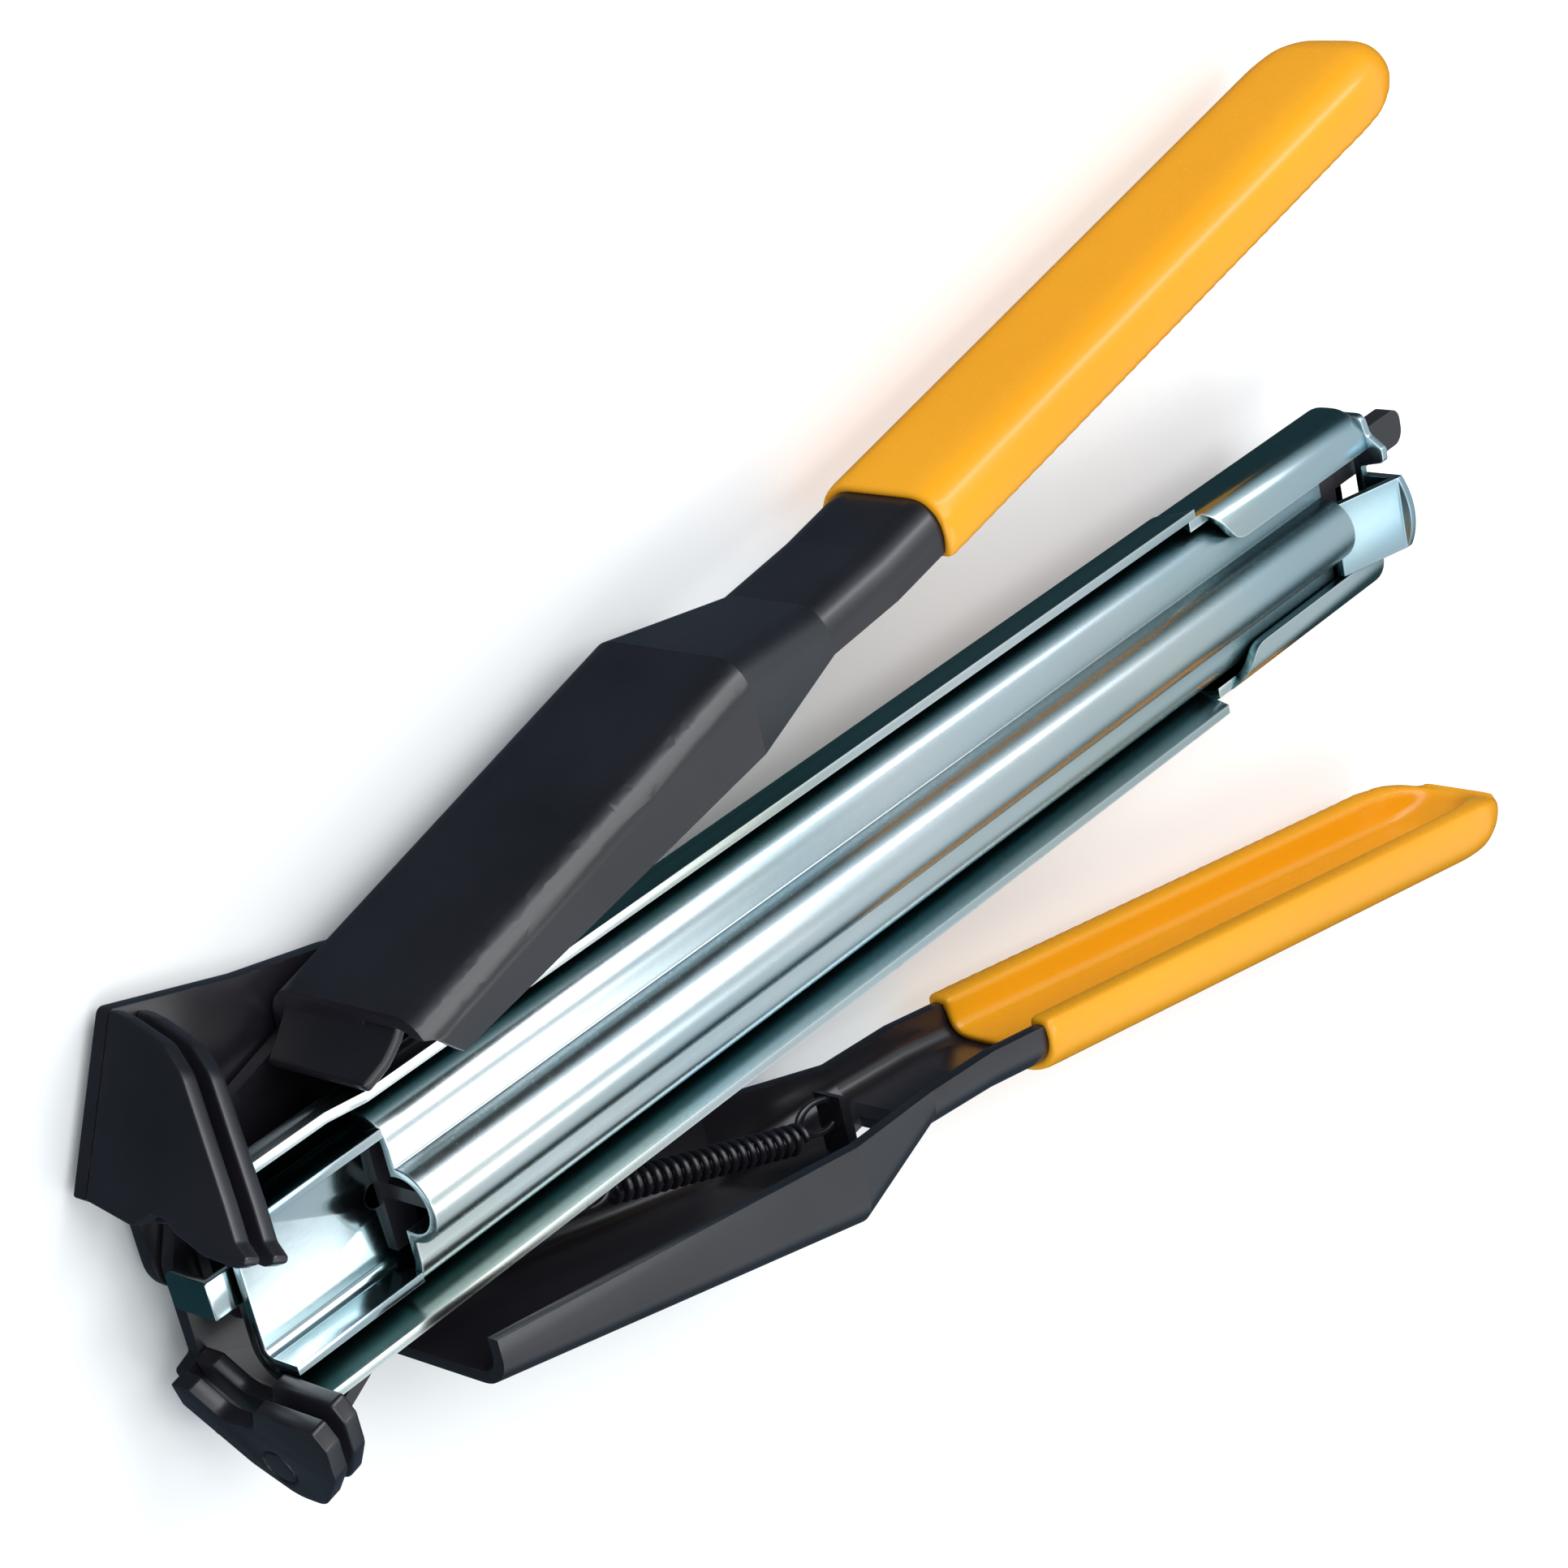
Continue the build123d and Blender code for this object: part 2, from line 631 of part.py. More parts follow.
with BuildPart() as rail_cover:
    with BuildSketch(Plane.YZ.offset(COVER_FRONT)):
        with Locations((0, (Z_RAIL + COVER_SKIRT + Z_LIP) / 2)):
            Rectangle(2 * RAIL_HALF, Z_LIP - Z_RAIL - COVER_SKIRT)
    extrude(amount=COVER_REAR - COVER_FRONT)
    top_edges = rail_cover.edges().filter_by(Axis.X).group_by(Axis.Z)[-1]
    fillet(top_edges, RAIL_CORNER)
    with BuildSketch(Plane.YZ.offset(COVER_FRONT)):
        with Locations((0, Z_LIP)):
            Circle(LOBE_R)
    extrude(amount=COVER_REAR - COVER_FRONT)
    with BuildSketch(Plane.YZ.offset(COVER_FRONT)) as inner_section:
        with Locations((0, (Z_RAIL + Z_SEAT) / 2)):
            Rectangle(2 * (RAIL_HALF - RAIL_WALL), Z_SEAT - Z_RAIL)
        fillet(inner_section.vertices().group_by(Axis.Y)[-1], RAIL_CORNER - RAIL_WALL)
    extrude(amount=MAG_REAR - COVER_FRONT, mode=Mode.SUBTRACT)
    with BuildSketch(Plane.YZ.offset(COVER_FRONT)):
        with Locations((0, Z_LIP)):
            Circle(LOBE_R - RAIL_WALL)
    extrude(amount=MAG_REAR - COVER_FRONT, mode=Mode.SUBTRACT)
rail_cover.part.label = "rail_cover"
export_step(rail_cover.part, "parts/rail_cover.step")

with BuildPart() as nose_hook:
    with BuildSketch(Plane.XY.offset(Z_BACK + MAG_WALL)):
        with Locations(((HOOK_FRONT + HOOK_TAIL) / 2, HOOK_Y)):
            Rectangle(HOOK_TAIL - HOOK_FRONT, HOOK_W)
    extrude(amount=HOOK_T)
    with BuildSketch(Plane.YZ.offset(HOOK_FRONT)) as drop:
        with Locations((HOOK_Y, Z_BACK + MAG_WALL + HOOK_T - HOOK_DROP / 2)):
            Rectangle(HOOK_W, HOOK_DROP)
        fillet(drop.vertices().group_by(Axis.Y)[0], 1.0)
    extrude(amount=HOOK_T)
nose_hook.part.label = "nose_hook"
export_step(nose_hook.part, "parts/nose_hook.step")

with BuildPart() as rail_rivets:
    with BuildSketch(Plane.XY.offset(Z_BACK + MAG_WALL)):
        with Locations(*[(x, 0) for x in RAIL_RIVET_X]):
            Circle(RAIL_RIVET_R)
    extrude(amount=RING_GAP)
rail_rivets.part.label = "rail_rivets"
export_step(rail_rivets.part, "parts/rail_rivets.step")

with BuildPart() as end_plate:
    with BuildSketch(Plane.YZ.offset(MAG_REAR)):
        with BuildLine():
            FilletPolyline(
                (-MAG_HALF + 1.0, Z_BACK + 1.0),
                (MAG_HALF - 1.0, Z_BACK + 1.0),
                (MAG_HALF - 1.0, Z_LIP + 1.0),
                (10.0, Z_LIP + 1.6),
                (8.0, Z_LIP + 4.0),
                (6.0, Z_LIP + 4.0),
                (5.2, Z_LIP),
                (-8.0, Z_LIP),
                (-MAG_HALF + 1.0, Z_LIP - 1.0),
                close=True,
                radius=[3.0, 3.0, 1.5, 1.5, 0.8, 0.8, 0.2, 2.0, 2.0],
            )
        make_face()
        with Locations((0, (Z_FLOOR + Z_SEAT) / 2)):
            Rectangle(2 * NEST_INNER, Z_SEAT - Z_FLOOR, mode=Mode.SUBTRACT)
    extrude(amount=END_T)
end_plate.part.label = "end_plate"
export_step(end_plate.part, "parts/end_plate.step")

with BuildPart() as end_tab:
    # thumb ramp behind the lobe
    with BuildSketch(Plane.XZ.offset(-TAB_LOW)):
        with BuildLine():
            Polyline(
                (TAB_FRONT, Z_TAB),
                (MAG_REAR + END_T, Z_TAB + TAB_CLIMB),
                (MAG_REAR + END_T, Z_TAB + TAB_CLIMB + END_T),
                (TAB_FRONT, Z_TAB + END_T),
                close=True,
            )
        make_face()
    extrude(amount=TAB_LOW - TAB_HIGH)
    # its curved end flange, standing on the end plate
    with BuildSketch(Plane.YZ.offset(MAG_REAR + END_T)):
        with BuildLine():
            Polyline(
                (TAB_HIGH, Z_TAB + TAB_CLIMB + END_T),
                (TAB_HIGH, Z_LIP - 1.0),
                (TAB_LOW, Z_LIP - 1.0),
                (TAB_LOW, Z_TAB + TAB_CLIMB + END_T),
            )
            ThreePointArc(
                (TAB_LOW, Z_TAB + TAB_CLIMB + END_T),
                ((TAB_LOW + TAB_HIGH) / 2, Z_LIP + TAB_RISE),
                (TAB_HIGH, Z_TAB + TAB_CLIMB + END_T),
            )
        make_face()
    extrude(amount=END_T)
end_tab.part.label = "end_tab"
export_step(end_tab.part, "parts/end_tab.step")

# ---------------------------------------------------------------- follower and its spring
FOLLOWER_X = MAG_REAR - FOLLOWER_STOP - FOLLOWER_LEN
FOLLOWER_HALF = RAIL_HALF - RAIL_CORNER
YOKE_X = FOLLOWER_X + FOLLOWER_LEN / 2
YOKE_HALF = MAG_HALF - MAG_WALL - FOLLOWER_GAP
YOKE_FOOT = Z_BACK + MAG_WALL + FOLLOWER_GAP
with BuildPart() as follower_block:
    with BuildSketch(Plane.XY.offset(Z_FLOOR + FOLLOWER_GAP)):
        with Locations((YOKE_X, 0)):
            Rectangle(FOLLOWER_LEN, 2 * FOLLOWER_HALF)
    extrude(amount=Z_SEAT - Z_FLOOR - 2 * FOLLOWER_GAP)
    with BuildSketch(Plane.XY.offset(Z_RAIL - FOLLOWER_GAP)):
        with Locations((YOKE_X, 0)):
            Rectangle(YOKE_LEN, SLOT_W - 2 * FOLLOWER_GAP)
    extrude(amount=RAIL_WALL + 2 * FOLLOWER_GAP)
follower_block.part.label = "follower_block"
export_step(follower_block.part, "parts/follower_block.step")

# pusher that straddles the rail in the ring gap, behind the last ring
with BuildPart() as ring_pusher:
    with BuildSketch(Plane.YZ.offset(YOKE_X - YOKE_LEN / 2)) as profile:
        with Locations((0, (YOKE_FOOT + Z_LIP - LIP_RISE) / 2)):
            Rectangle(2 * YOKE_HALF, Z_LIP - LIP_RISE - YOKE_FOOT)
        fillet(profile.vertices().group_by(Axis.Y)[0], CHANNEL_R - MAG_WALL)
        with Locations((0, (Z_RAIL - FOLLOWER_GAP + Z_LIP) / 2)):
            Rectangle(2 * (RAIL_HALF + FOLLOWER_GAP), Z_LIP - Z_RAIL + FOLLOWER_GAP, mode=Mode.SUBTRACT)
    extrude(amount=YOKE_LEN)
ring_pusher.part.label = "ring_pusher"
export_step(ring_pusher.part, "parts/ring_pusher.step")

BAR_Y = NEST_INNER - FOLLOWER_GAP - BAR_W / 2
BAR_Z = (Z_FLOOR + Z_SEAT) / 2 - FOLLOWER_GAP / 2
for name, side, reach in (("pull_bar", 1, BAR_REACH), ("pull_stub", -1, STUB_REACH)):
    with BuildPart() as bar:
        with BuildSketch(Plane.XY.offset(BAR_Z - BAR_T / 2)) as plan:
            with Locations((MAG_REAR + (reach - FOLLOWER_STOP) / 2, side * BAR_Y)):
                Rectangle(reach + FOLLOWER_STOP, BAR_W)
            fillet(plan.vertices().group_by(Axis.X)[-1], BAR_W / 2 - 0.6)
        extrude(amount=BAR_T)
    bar.part.label = name
    export_step(bar.part, f"parts/{name}.step")

SPRING_Z = Z_LIP + 0.4
SPRING_X = COVER_FRONT + 6.0
with BuildPart() as spring_anchor:
    with BuildSketch(Plane.XY.offset(Z_FLOOR)):
        with Locations((SPRING_X - ANCHOR_L / 2 - FEED_EYE, 0)):
            Rectangle(ANCHOR_L, 2 * FOLLOWER_HALF)
    extrude(amount=1.0)
    with BuildSketch(Plane.XY.offset(Z_FLOOR)):
        with Locations((SPRING_X - ANCHOR_L / 2 - FEED_EYE, 0)):
            Rectangle(1.6, 2.0)
    extrude(amount=SPRING_Z + FEED_COIL_R / 2 - Z_FLOOR)
spring_anchor.part.label = "spring_anchor"
export_step(spring_anchor.part, "parts/spring_anchor.step")


def coil(radius, wire, length, turns):
    """Open coil along local Z with its ends trimmed square."""
    with BuildPart() as spring:
        with BuildLine():
            Helix(pitch=length / turns, height=length, radius=radius)
        with BuildSketch(Plane(origin=(radius, 0, 0), x_dir=(1, 0, 0), z_dir=(0, 1, 0))):
            Circle(wire)
        sweep()
    return spring.part


FEED_LENGTH = FOLLOWER_X - SPRING_X - FEED_EYE
feed_coil = coil(FEED_COIL_R, FEED_WIRE_R, FEED_LENGTH, FEED_TURNS)
with BuildPart() as feed_spring:
    add(Plane(origin=(SPRING_X, 0, SPRING_Z), x_dir=(0, 1, 0), z_dir=(1, 0, 0)) * feed_coil)
feed_spring.part.label = "feed_spring"
export_step(feed_spring.part, "parts/feed_spring.step")

RETURN_FROM = Vector(POST_X + 5.5, POST_Y - 2.4, Z_GRIP)
RETURN_TO = Vector(HOOK_X - 6.5, -31.0, Z_GRIP)
along = RETURN_TO - RETURN_FROM
return_coil = coil(RETURN_COIL_R - RETURN_WIRE_R, RETURN_WIRE_R, along.length, RETURN_TURNS)
with BuildPart() as return_spring:
    add(Plane(origin=RETURN_FROM, x_dir=(0, 0, 1), z_dir=along) * return_coil)
return_spring.part.label = "return_spring"
export_step(return_spring.part, "parts/return_spring.step")
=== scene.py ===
# %% [markdown]
# # A ring stapler plier
# Two black stamped levers cross on one pivot and close a pair of grooved jaws. A plated,
# spring-fed magazine runs back between them, and amber vinyl grips are dipped over the handles.
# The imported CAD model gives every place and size, so this lesson starts by loading it.

from math import pi, radians

import bmesh
import bpy
from mathutils import Matrix, Vector


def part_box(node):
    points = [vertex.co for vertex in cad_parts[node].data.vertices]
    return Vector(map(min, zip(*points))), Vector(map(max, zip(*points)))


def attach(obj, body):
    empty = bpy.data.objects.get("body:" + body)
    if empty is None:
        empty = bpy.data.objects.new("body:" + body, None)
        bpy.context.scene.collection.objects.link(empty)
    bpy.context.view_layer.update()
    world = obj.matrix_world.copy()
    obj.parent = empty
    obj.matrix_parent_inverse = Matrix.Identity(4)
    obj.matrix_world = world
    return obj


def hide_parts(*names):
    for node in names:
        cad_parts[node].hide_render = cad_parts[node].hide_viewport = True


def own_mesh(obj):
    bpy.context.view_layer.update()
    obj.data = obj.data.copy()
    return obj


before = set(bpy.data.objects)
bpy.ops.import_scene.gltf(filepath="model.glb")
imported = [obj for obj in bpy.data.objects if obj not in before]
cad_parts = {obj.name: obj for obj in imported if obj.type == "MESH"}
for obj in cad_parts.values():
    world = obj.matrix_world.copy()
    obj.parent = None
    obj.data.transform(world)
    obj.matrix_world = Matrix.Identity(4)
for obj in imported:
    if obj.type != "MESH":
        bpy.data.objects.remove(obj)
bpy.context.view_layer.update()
MM = 0.001

# %% [markdown]
# ## Camera
# The tool lies on its side and is seen from the jaw end, a little above the near face. The
# camera is placed at a measured point and is turned with three unit vectors: its right, its up
# and its back. A long lens keeps the perspective mild.


# %% Camera
CAMERA_AT = Vector((-240.8, 214.8, 334.1)) * MM
RIGHT = Vector((0.6341, -0.2065, 0.7452))
UP = Vector((0.4432, 0.8867, -0.1314))
BACK = Vector((-0.6337, 0.4136, 0.6538))


def add_camera():
    """A still camera with a long lens, turned by its own three axes."""
    data = bpy.data.cameras.new("camera")
    data.lens = 89.6
    data.sensor_width = 36.0
    data.clip_start = 0.01
    camera = bpy.data.objects.new("camera", data)
    bpy.context.collection.objects.link(camera)
    turn = Matrix((RIGHT, UP, BACK)).transposed().to_4x4()
    camera.matrix_world = Matrix.Translation(CAMERA_AT) @ turn
    bpy.context.scene.camera = camera
    return camera


camera = add_camera()
print("camera at", [round(v, 3) for v in camera.matrix_world.translation])

# %% [markdown]
# ## Floor and light
# The tool lies on a wide sheet of pale paper. The sheet stays out of glossy reflections, because
# metal that mirrors white paper on every side looks flat. A studio would use soft boxes; here
# four area lamps do the same: a broad key above the upper handle, a cool strip at the nose, a
# top light, and a narrow lamp whose reflection runs along the folds of the levers.


# %% Floor
def plain_material(name, colour, roughness):
    """A simple even surface for the things that are not part of the tool."""
    material = bpy.data.materials.new(name)
    material.use_nodes = True
    shader = material.node_tree.nodes["Principled BSDF"]
    shader.inputs["Base Color"].default_value = (*colour, 1.0)
    shader.inputs["Roughness"].default_value = roughness
    return material


FLOOR_SIZE = 6.0
PAPER = (0.95, 0.95, 0.95)


def add_floor():
    """A wide pale floor on the rest plane, under the tool's far side."""
    bpy.ops.object.select_all(action="DESELECT")
    bpy.ops.mesh.primitive_plane_add(size=FLOOR_SIZE, location=(0.09, 0.0, -0.0005))
    floor = bpy.context.object
    floor.name = "floor"
    floor.data.materials.append(plain_material("floor_paper", PAPER, 0.9))
    floor.visible_glossy = False
    return floor


floor = add_floor()
print(floor.name, "at", [round(v, 4) for v in floor.location])

# %% Lights
MIDDLE = Vector((80.0, 0.0, 15.0)) * MM


def add_area(name, offset, size, power, colour=(1.0, 1.0, 1.0)):
    """A rectangular lamp at an offset from the tool's middle, aimed back at it."""
    data = bpy.data.lights.new(name, "AREA")
    data.shape = "RECTANGLE"
    data.size, data.size_y = size
    data.energy = power
    data.color = colour
    lamp = bpy.data.objects.new(name, data)
    bpy.context.collection.objects.link(lamp)
    lamp.location = MIDDLE + Vector(offset)
    lamp.rotation_euler = (-Vector(offset)).to_track_quat("-Z", "Y").to_euler()
    return lamp


add_area("key", (0.05, 0.45, 0.75), (0.9, 0.5), 3.6)
add_area("strip", (-0.55, -0.15, 0.55), (0.25, 0.9), 1.4, (0.9, 0.96, 1.0))
add_area("top", (0.1, -0.35, 0.9), (0.7, 0.3), 1.5)
add_area("fold_light", (0.29, 0.58, 0.48), (0.9, 0.10), 1.6, (0.92, 0.92, 1.0))

# %% [markdown]
# ## Surroundings
# Plated metal has hardly any colour of its own and shows its surroundings. An even white world
# would hide every lobe and groove. The world is therefore bright overhead and dark teal from
# just above the horizon down, set by a colour ramp over the height of each direction. The
# Standard view transform keeps the white paper white and the amber vinyl saturated.


# %% Surroundings
def set_ramp(ramp_node, stops):
    """Gives a colour ramp its stops of (position, colour)."""
    elements = ramp_node.color_ramp.elements
    while len(elements) < len(stops):
        elements.new(0.5)
    for element, (position, colour) in zip(elements, stops):
        element.position = position
        element.color = (*colour, 1.0)


SKY_STOPS = (
    (0.0, (0.02, 0.055, 0.065)),
    (0.52, (0.012, 0.045, 0.055)),
    (0.60, (0.26, 0.38, 0.41)),
    (0.70, (0.86, 0.95, 1.0)),
    (1.0, (0.95, 0.98, 1.0)),
)


def make_studio_world():
    """Bright overhead and dark teal low down, so that plated metal has something to reflect."""
    world = bpy.data.worlds.new("studio")
    bpy.context.scene.world = world
    world.use_nodes = True
    tree = world.node_tree
    place = tree.nodes.new("ShaderNodeTexCoord")
    parts = tree.nodes.new("ShaderNodeSeparateXYZ")
    height = tree.nodes.new("ShaderNodeMapRange")
    height.inputs["From Min"].default_value = -1.0
    shade = tree.nodes.new("ShaderNodeValToRGB")
    set_ramp(shade, SKY_STOPS)
    tree.links.new(place.outputs["Generated"], parts.inputs["Vector"])
    tree.links.new(parts.outputs["Z"], height.inputs["Value"])
    tree.links.new(height.outputs["Result"], shade.inputs["Fac"])
    tree.links.new(shade.outputs["Color"], tree.nodes["Background"].inputs["Color"])
    tree.nodes["Background"].inputs["Strength"].default_value = 0.8
    return world


studio = make_studio_world()
bpy.context.scene.view_settings.view_transform = "Standard"
print("world:", studio.name)

# %% [markdown]
# ## Shared effects
# Four effects return in several finishes: bright or worn edges, a fine grain, broad soft stains,
# and a painted shade that darkens deep grooves. Each is a node group with named inputs, built
# once, so a change in one place reaches every finish. Small helpers keep the wiring short.


# %% Node helpers
def new_group(name, inputs, outputs):
    """An empty shader group: inputs map names to defaults, outputs map names to kinds."""
    group = bpy.data.node_groups.new(name, "ShaderNodeTree")
    for label, default in inputs.items():
        socket = group.interface.new_socket(label, in_out="INPUT", socket_type="NodeSocketFloat")
        socket.default_value = default
    for label, kind in outputs.items():
        group.interface.new_socket(label, in_out="OUTPUT", socket_type=kind)
    entry = group.nodes.new("NodeGroupInput")
    leave = group.nodes.new("NodeGroupOutput")
    return group, entry, leave


def node(tree, kind, **settings):
    """Adds a node and sets its options."""
    made = tree.nodes.new(kind)
    for key, value in settings.items():
        setattr(made, key, value)
    return made


def math(tree, operation, *terms, clamp=False):
    """A math node; each term is a socket or a number."""
    made = node(tree, "ShaderNodeMath", operation=operation, use_clamp=clamp)
    for slot, term in enumerate(terms):
        if isinstance(term, (int, float)):
            made.inputs[slot].default_value = term
        else:
            tree.links.new(term, made.inputs[slot])
    return made.outputs[0]


def noise(tree, scale, detail=2.0, stretch=(1.0, 1.0, 1.0), shift=(0.0, 0.0, 0.0)):
    """Noise in the piece's own coordinates, stretched along chosen axes."""
    place = node(tree, "ShaderNodeTexCoord")
    mapping = node(tree, "ShaderNodeMapping")
    mapping.inputs["Scale"].default_value = stretch
    mapping.inputs["Location"].default_value = shift
    tree.links.new(place.outputs["Object"], mapping.inputs["Vector"])
    made = node(tree, "ShaderNodeTexNoise")
    made.inputs["Scale"].default_value = scale
    made.inputs["Detail"].default_value = detail
    tree.links.new(mapping.outputs["Vector"], made.inputs["Vector"])
    return made.outputs["Fac"]


def ramp(tree, value, stops):
    """A colour ramp over a 0 to 1 value, with stops of (position, colour)."""
    made = node(tree, "ShaderNodeValToRGB")
    set_ramp(made, stops)
    tree.links.new(value, made.inputs["Fac"])
    return made.outputs["Color"]


def blend_colours(tree, factor, first, second):
    """Mixes two colours, each a socket or an RGB triple, by a socket."""
    made = node(tree, "ShaderNodeMix", data_type="RGBA")
    for name, term in (("Factor", factor), ("A", first), ("B", second)):
        kind = "VALUE" if name == "Factor" else "RGBA"
        socket = [s for s in made.inputs if s.name == name and s.type == kind][0]
        if isinstance(term, tuple):
            socket.default_value = (*term, 1.0)
        else:
            tree.links.new(term, socket)
    return [s for s in made.outputs if s.type == "RGBA"][0]


# %% Edge wear group
def make_edge_wear():
    """Mask of convex edges within Width, broken up by noise."""
    group, entry, leave = new_group(
        "edge_wear", {"Width": 0.0006, "Break": 0.5}, {"Mask": "NodeSocketFloat"}
    )
    bevel = node(group, "ShaderNodeBevel", samples=6)
    group.links.new(entry.outputs["Width"], bevel.inputs["Radius"])
    true_normal = node(group, "ShaderNodeNewGeometry")
    dot = node(group, "ShaderNodeVectorMath", operation="DOT_PRODUCT")
    group.links.new(bevel.outputs["Normal"], dot.inputs[0])
    group.links.new(true_normal.outputs["Normal"], dot.inputs[1])
    edge = math(group, "SUBTRACT", 1.0, dot.outputs["Value"])
    edge = math(group, "MULTIPLY", edge, 5.0, clamp=True)
    patch = noise(group, 420.0, 3.0)
    kept = math(group, "SUBTRACT", patch, entry.outputs["Break"])
    kept = math(group, "MULTIPLY", kept, 6.0, clamp=True)
    group.links.new(math(group, "MULTIPLY", edge, kept), leave.inputs["Mask"])
    return group


edge_wear = make_edge_wear()


# %% Grain group
def make_grain():
    """Fine and coarse surface grain as a height, for a Bump node."""
    group, entry, leave = new_group(
        "metal_grain",
        {"Fine": 0.5, "Coarse": 0.5},
        {"Height": "NodeSocketFloat", "Value": "NodeSocketFloat"},
    )
    fine = noise(group, 5200.0, 2.0)
    coarse = noise(group, 1500.0, 3.0, (0.6, 1.0, 1.0))
    sized_fine = math(group, "MULTIPLY", fine, entry.outputs["Fine"])
    sized_coarse = math(group, "MULTIPLY", coarse, entry.outputs["Coarse"])
    total = math(group, "ADD", sized_fine, sized_coarse)
    group.links.new(total, leave.inputs["Height"])
    group.links.new(coarse, leave.inputs["Value"])
    return group


metal_grain = make_grain()


# %% Stain group
def make_stain():
    """Broad soft patches, drawn out along the tool, between 0 and 1."""
    group, entry, leave = new_group("soft_stain", {"Amount": 1.0}, {"Mask": "NodeSocketFloat"})
    broad = noise(group, 38.0, 3.0, (0.35, 1.0, 1.0), (3.1, 0.4, 0.0))
    narrowed = math(group, "SUBTRACT", broad, 0.42)
    spread = math(group, "MULTIPLY", narrowed, 4.0, clamp=True)
    group.links.new(math(group, "MULTIPLY", spread, entry.outputs["Amount"]), leave.inputs["Mask"])
    return group


soft_stain = make_stain()


# %% Painted groove shade group
def make_painted_groove_shade():
    """Mask of painted shade in deep grooves, from how much of the surroundings a point can see."""
    group, entry, leave = new_group(
        "painted_groove_shade", {"Reach": 0.008, "Depth": 0.6}, {"Mask": "NodeSocketFloat"}
    )
    shelter = node(group, "ShaderNodeAmbientOcclusion", samples=8)
    group.links.new(entry.outputs["Reach"], shelter.inputs["Distance"])
    hidden = math(group, "SUBTRACT", 1.0, shelter.outputs["AO"])
    deeper = math(group, "SUBTRACT", hidden, 0.18)
    deeper = math(group, "MULTIPLY", deeper, 2.2, clamp=True)
    mask = math(group, "MULTIPLY", deeper, entry.outputs["Depth"])
    group.links.new(mask, leave.inputs["Mask"])
    return group


painted_groove_shade = make_painted_groove_shade()
print("groups:", [g.name for g in bpy.data.node_groups])


# %% Material helpers
def use_group(tree, group, **values):
    """Places a group in a material with its own values."""
    made = node(tree, "ShaderNodeGroup", node_tree=group)
    for label, value in values.items():
        made.inputs[label].default_value = value
    return made


def start_material(name, **constants):
    """A material whose Principled shader has these constants on its own sockets."""
    material = bpy.data.materials.new(name)
    material.use_nodes = True
    shader = material.node_tree.nodes["Principled BSDF"]
    for label, value in constants.items():
        shader.inputs[label.replace("_", " ")].default_value = value
    return material, material.node_tree, shader


def add_bump(tree, shader, height, strength, distance):
    """Feeds a height into the shader's normal."""
    bump = node(tree, "ShaderNodeBump")
    bump.inputs["Strength"].default_value = strength
    bump.inputs["Distance"].default_value = distance
    tree.links.new(height, bump.inputs["Height"])
    tree.links.new(bump.outputs["Normal"], shader.inputs["Normal"])


# %% [markdown]
# ## Zinc plating
# The magazine is bright zinc over mild steel. Its colour is a cool white with blue and straw
# patches from the passivation, the rolled faces carry a fine grain, and the sheared edges are
# whiter and rougher. A painted metal could not mirror the lamps, so the shader is fully
# metallic: the stain group brings the straw, the wear group the pale edges, and a painted shade
# group darkens deep grooves to teal, where facing walls see only each other.


# %% Zinc plating
ZINC_STOPS = (
    (0.32, (0.46, 0.58, 0.63)),
    (0.5, (0.62, 0.69, 0.71)),
    (0.7, (0.50, 0.64, 0.70)),
)
ZINC_STRAW = (0.56, 0.56, 0.43)
ZINC_EDGE = (0.82, 0.85, 0.85)
ZINC_BLUE = (0.06, 0.23, 0.33)
# Dark teal of the painted shade in deep grooves.
ZINC_PAINTED_SHADE = (0.035, 0.13, 0.14)


def make_zinc(name, rough, straw, grain=1.0, blue=0.16):
    """Clear zinc plating with drifting blue and straw tints."""
    material, tree, shader = start_material(name, Metallic=1.0)
    stain = use_group(tree, soft_stain, Amount=straw)
    drift = noise(tree, 22.0, 2.0, (0.5, 1.0, 1.0))
    cool = ramp(tree, drift, ZINC_STOPS)
    tinted = blend_colours(tree, stain.outputs["Mask"], cool, ZINC_STRAW)
    wear = use_group(tree, edge_wear, Width=0.0007, Break=0.2)
    edged = blend_colours(tree, wear.outputs["Mask"], tinted, ZINC_EDGE)
    thick = noise(tree, 30.0, 1.0, (0.6, 1.0, 1.0), (0.3, 2.0, 1.0))
    thick = math(tree, "MULTIPLY_ADD", thick, 3.0, -0.9, clamp=True)
    blued = blend_colours(tree, math(tree, "MULTIPLY", thick, blue), edged, ZINC_BLUE)
    # Painted shade: an occlusion mask darkens deep grooves to a dark teal.
    groove_shade = use_group(tree, painted_groove_shade, Reach=0.009, Depth=0.85)
    shaded = blend_colours(tree, groove_shade.outputs["Mask"], blued, ZINC_PAINTED_SHADE)
    tree.links.new(shaded, shader.inputs["Base Color"])
    skin = use_group(tree, metal_grain, Fine=0.6 * grain, Coarse=0.5 * grain)
    rough_spread = math(tree, "MULTIPLY_ADD", skin.outputs["Value"], 0.08, rough - 0.04)
    edge_rough = math(tree, "MULTIPLY", wear.outputs["Mask"], 0.16)
    tree.links.new(math(tree, "ADD", rough_spread, edge_rough), shader.inputs["Roughness"])
    add_bump(tree, shader, skin.outputs["Height"], 0.10, 0.00003)
    return material


zinc_outer = make_zinc("zinc_outer", 0.22, 0.7)
zinc_rail = make_zinc("zinc_rail", 0.26, 0.35, 1.2)
zinc_bright = make_zinc("zinc_bright", 0.14, 0.12, 0.5, 0.85)
zinc_straw = make_zinc("zinc_straw", 0.30, 1.0, 1.2, 0.5)
print("zinc:", [m.name for m in (zinc_outer, zinc_rail, zinc_bright, zinc_straw)])

